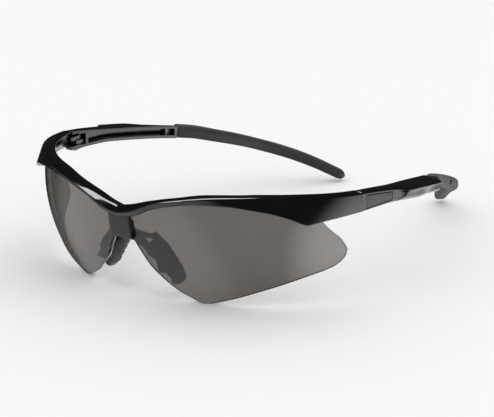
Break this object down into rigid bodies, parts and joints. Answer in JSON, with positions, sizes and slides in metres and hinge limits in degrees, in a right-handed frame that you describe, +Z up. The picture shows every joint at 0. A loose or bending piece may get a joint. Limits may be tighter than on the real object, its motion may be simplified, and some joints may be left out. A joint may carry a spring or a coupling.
{
  "type": "half-frame safety glasses with folding temples",
  "caption": "Wraparound smoke-lens safety glasses: gloss black brow over a single lens, soft nose pads and folding temples with soft tips.",
  "frame": {"origin": "middle of the whole object, seen from above, on the surface the open glasses stand on", "axes": "+X to the wearer's left, +Y from the lens back towards the ears, +Z up"},
  "size_m": [0.1528, 0.1713, 0.0439],
  "materials": {
    "gloss_black": "glossy injection moulding",
    "smoke_lens": "clear polished smoke-grey polycarbonate",
    "black_nylon": "satin",
    "soft_rubber": "matt, soft",
    "screw_steel": "turned",
    "matt_grey": "fine matt texture"
  },
  "bodies": {
    "front": {"brow_frame": "gloss_black", "lens": "smoke_lens", "nose_bridge": "black_nylon", "nose_pad_left": "soft_rubber", "nose_pad_right": "soft_rubber", "hinge_screw_left": "screw_steel", "hinge_screw_right": "screw_steel"},
    "temple_left": {"temple_left": "gloss_black", "temple_inlay_left": "matt_grey", "temple_tip_left": "soft_rubber"},
    "temple_right": {"temple_right": "gloss_black", "temple_inlay_right": "matt_grey", "temple_tip_right": "soft_rubber"}
  },
  "joints": [
    {"name": "temple_left_fold", "type": "hinge", "parent": "front", "child": "temple_left", "pos_m": [0.0684, -0.0319, 0.037], "axis": [0, 0, 1], "range_deg": [0, 82]},
    {"name": "temple_right_fold", "type": "hinge", "parent": "front", "child": "temple_right", "pos_m": [-0.0684, -0.0319, 0.037], "axis": [0, 0, -1], "range_deg": [0, 70]}
  ]
}
